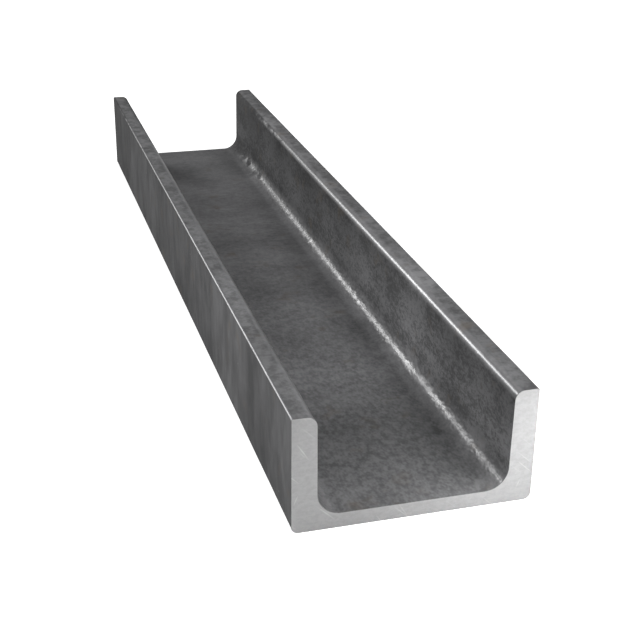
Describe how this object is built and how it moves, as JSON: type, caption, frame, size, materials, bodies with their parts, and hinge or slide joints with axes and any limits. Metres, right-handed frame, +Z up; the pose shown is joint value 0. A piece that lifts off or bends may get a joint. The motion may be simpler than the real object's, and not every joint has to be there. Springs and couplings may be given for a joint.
{
  "type": "steel channel section",
  "caption": "Short length of hot-rolled steel channel: a flat web between upright flanges with filleted roots and rounded toes, sawn square at both ends.",
  "frame": {"origin": "middle of the back of the web, which is the face the channel rests on", "axes": "+Y along the length, +X across the web from one flange to the other, +Z up from the web towards the toes"},
  "size_m": [0.1, 0.5, 0.05],
  "materials": {
    "mill_scale_steel": "dark grey mill scale as rolled, with bright saw-cut ends"
  },
  "bodies": {
    "root": {"channel": "mill_scale_steel"}
  },
  "joints": []
}
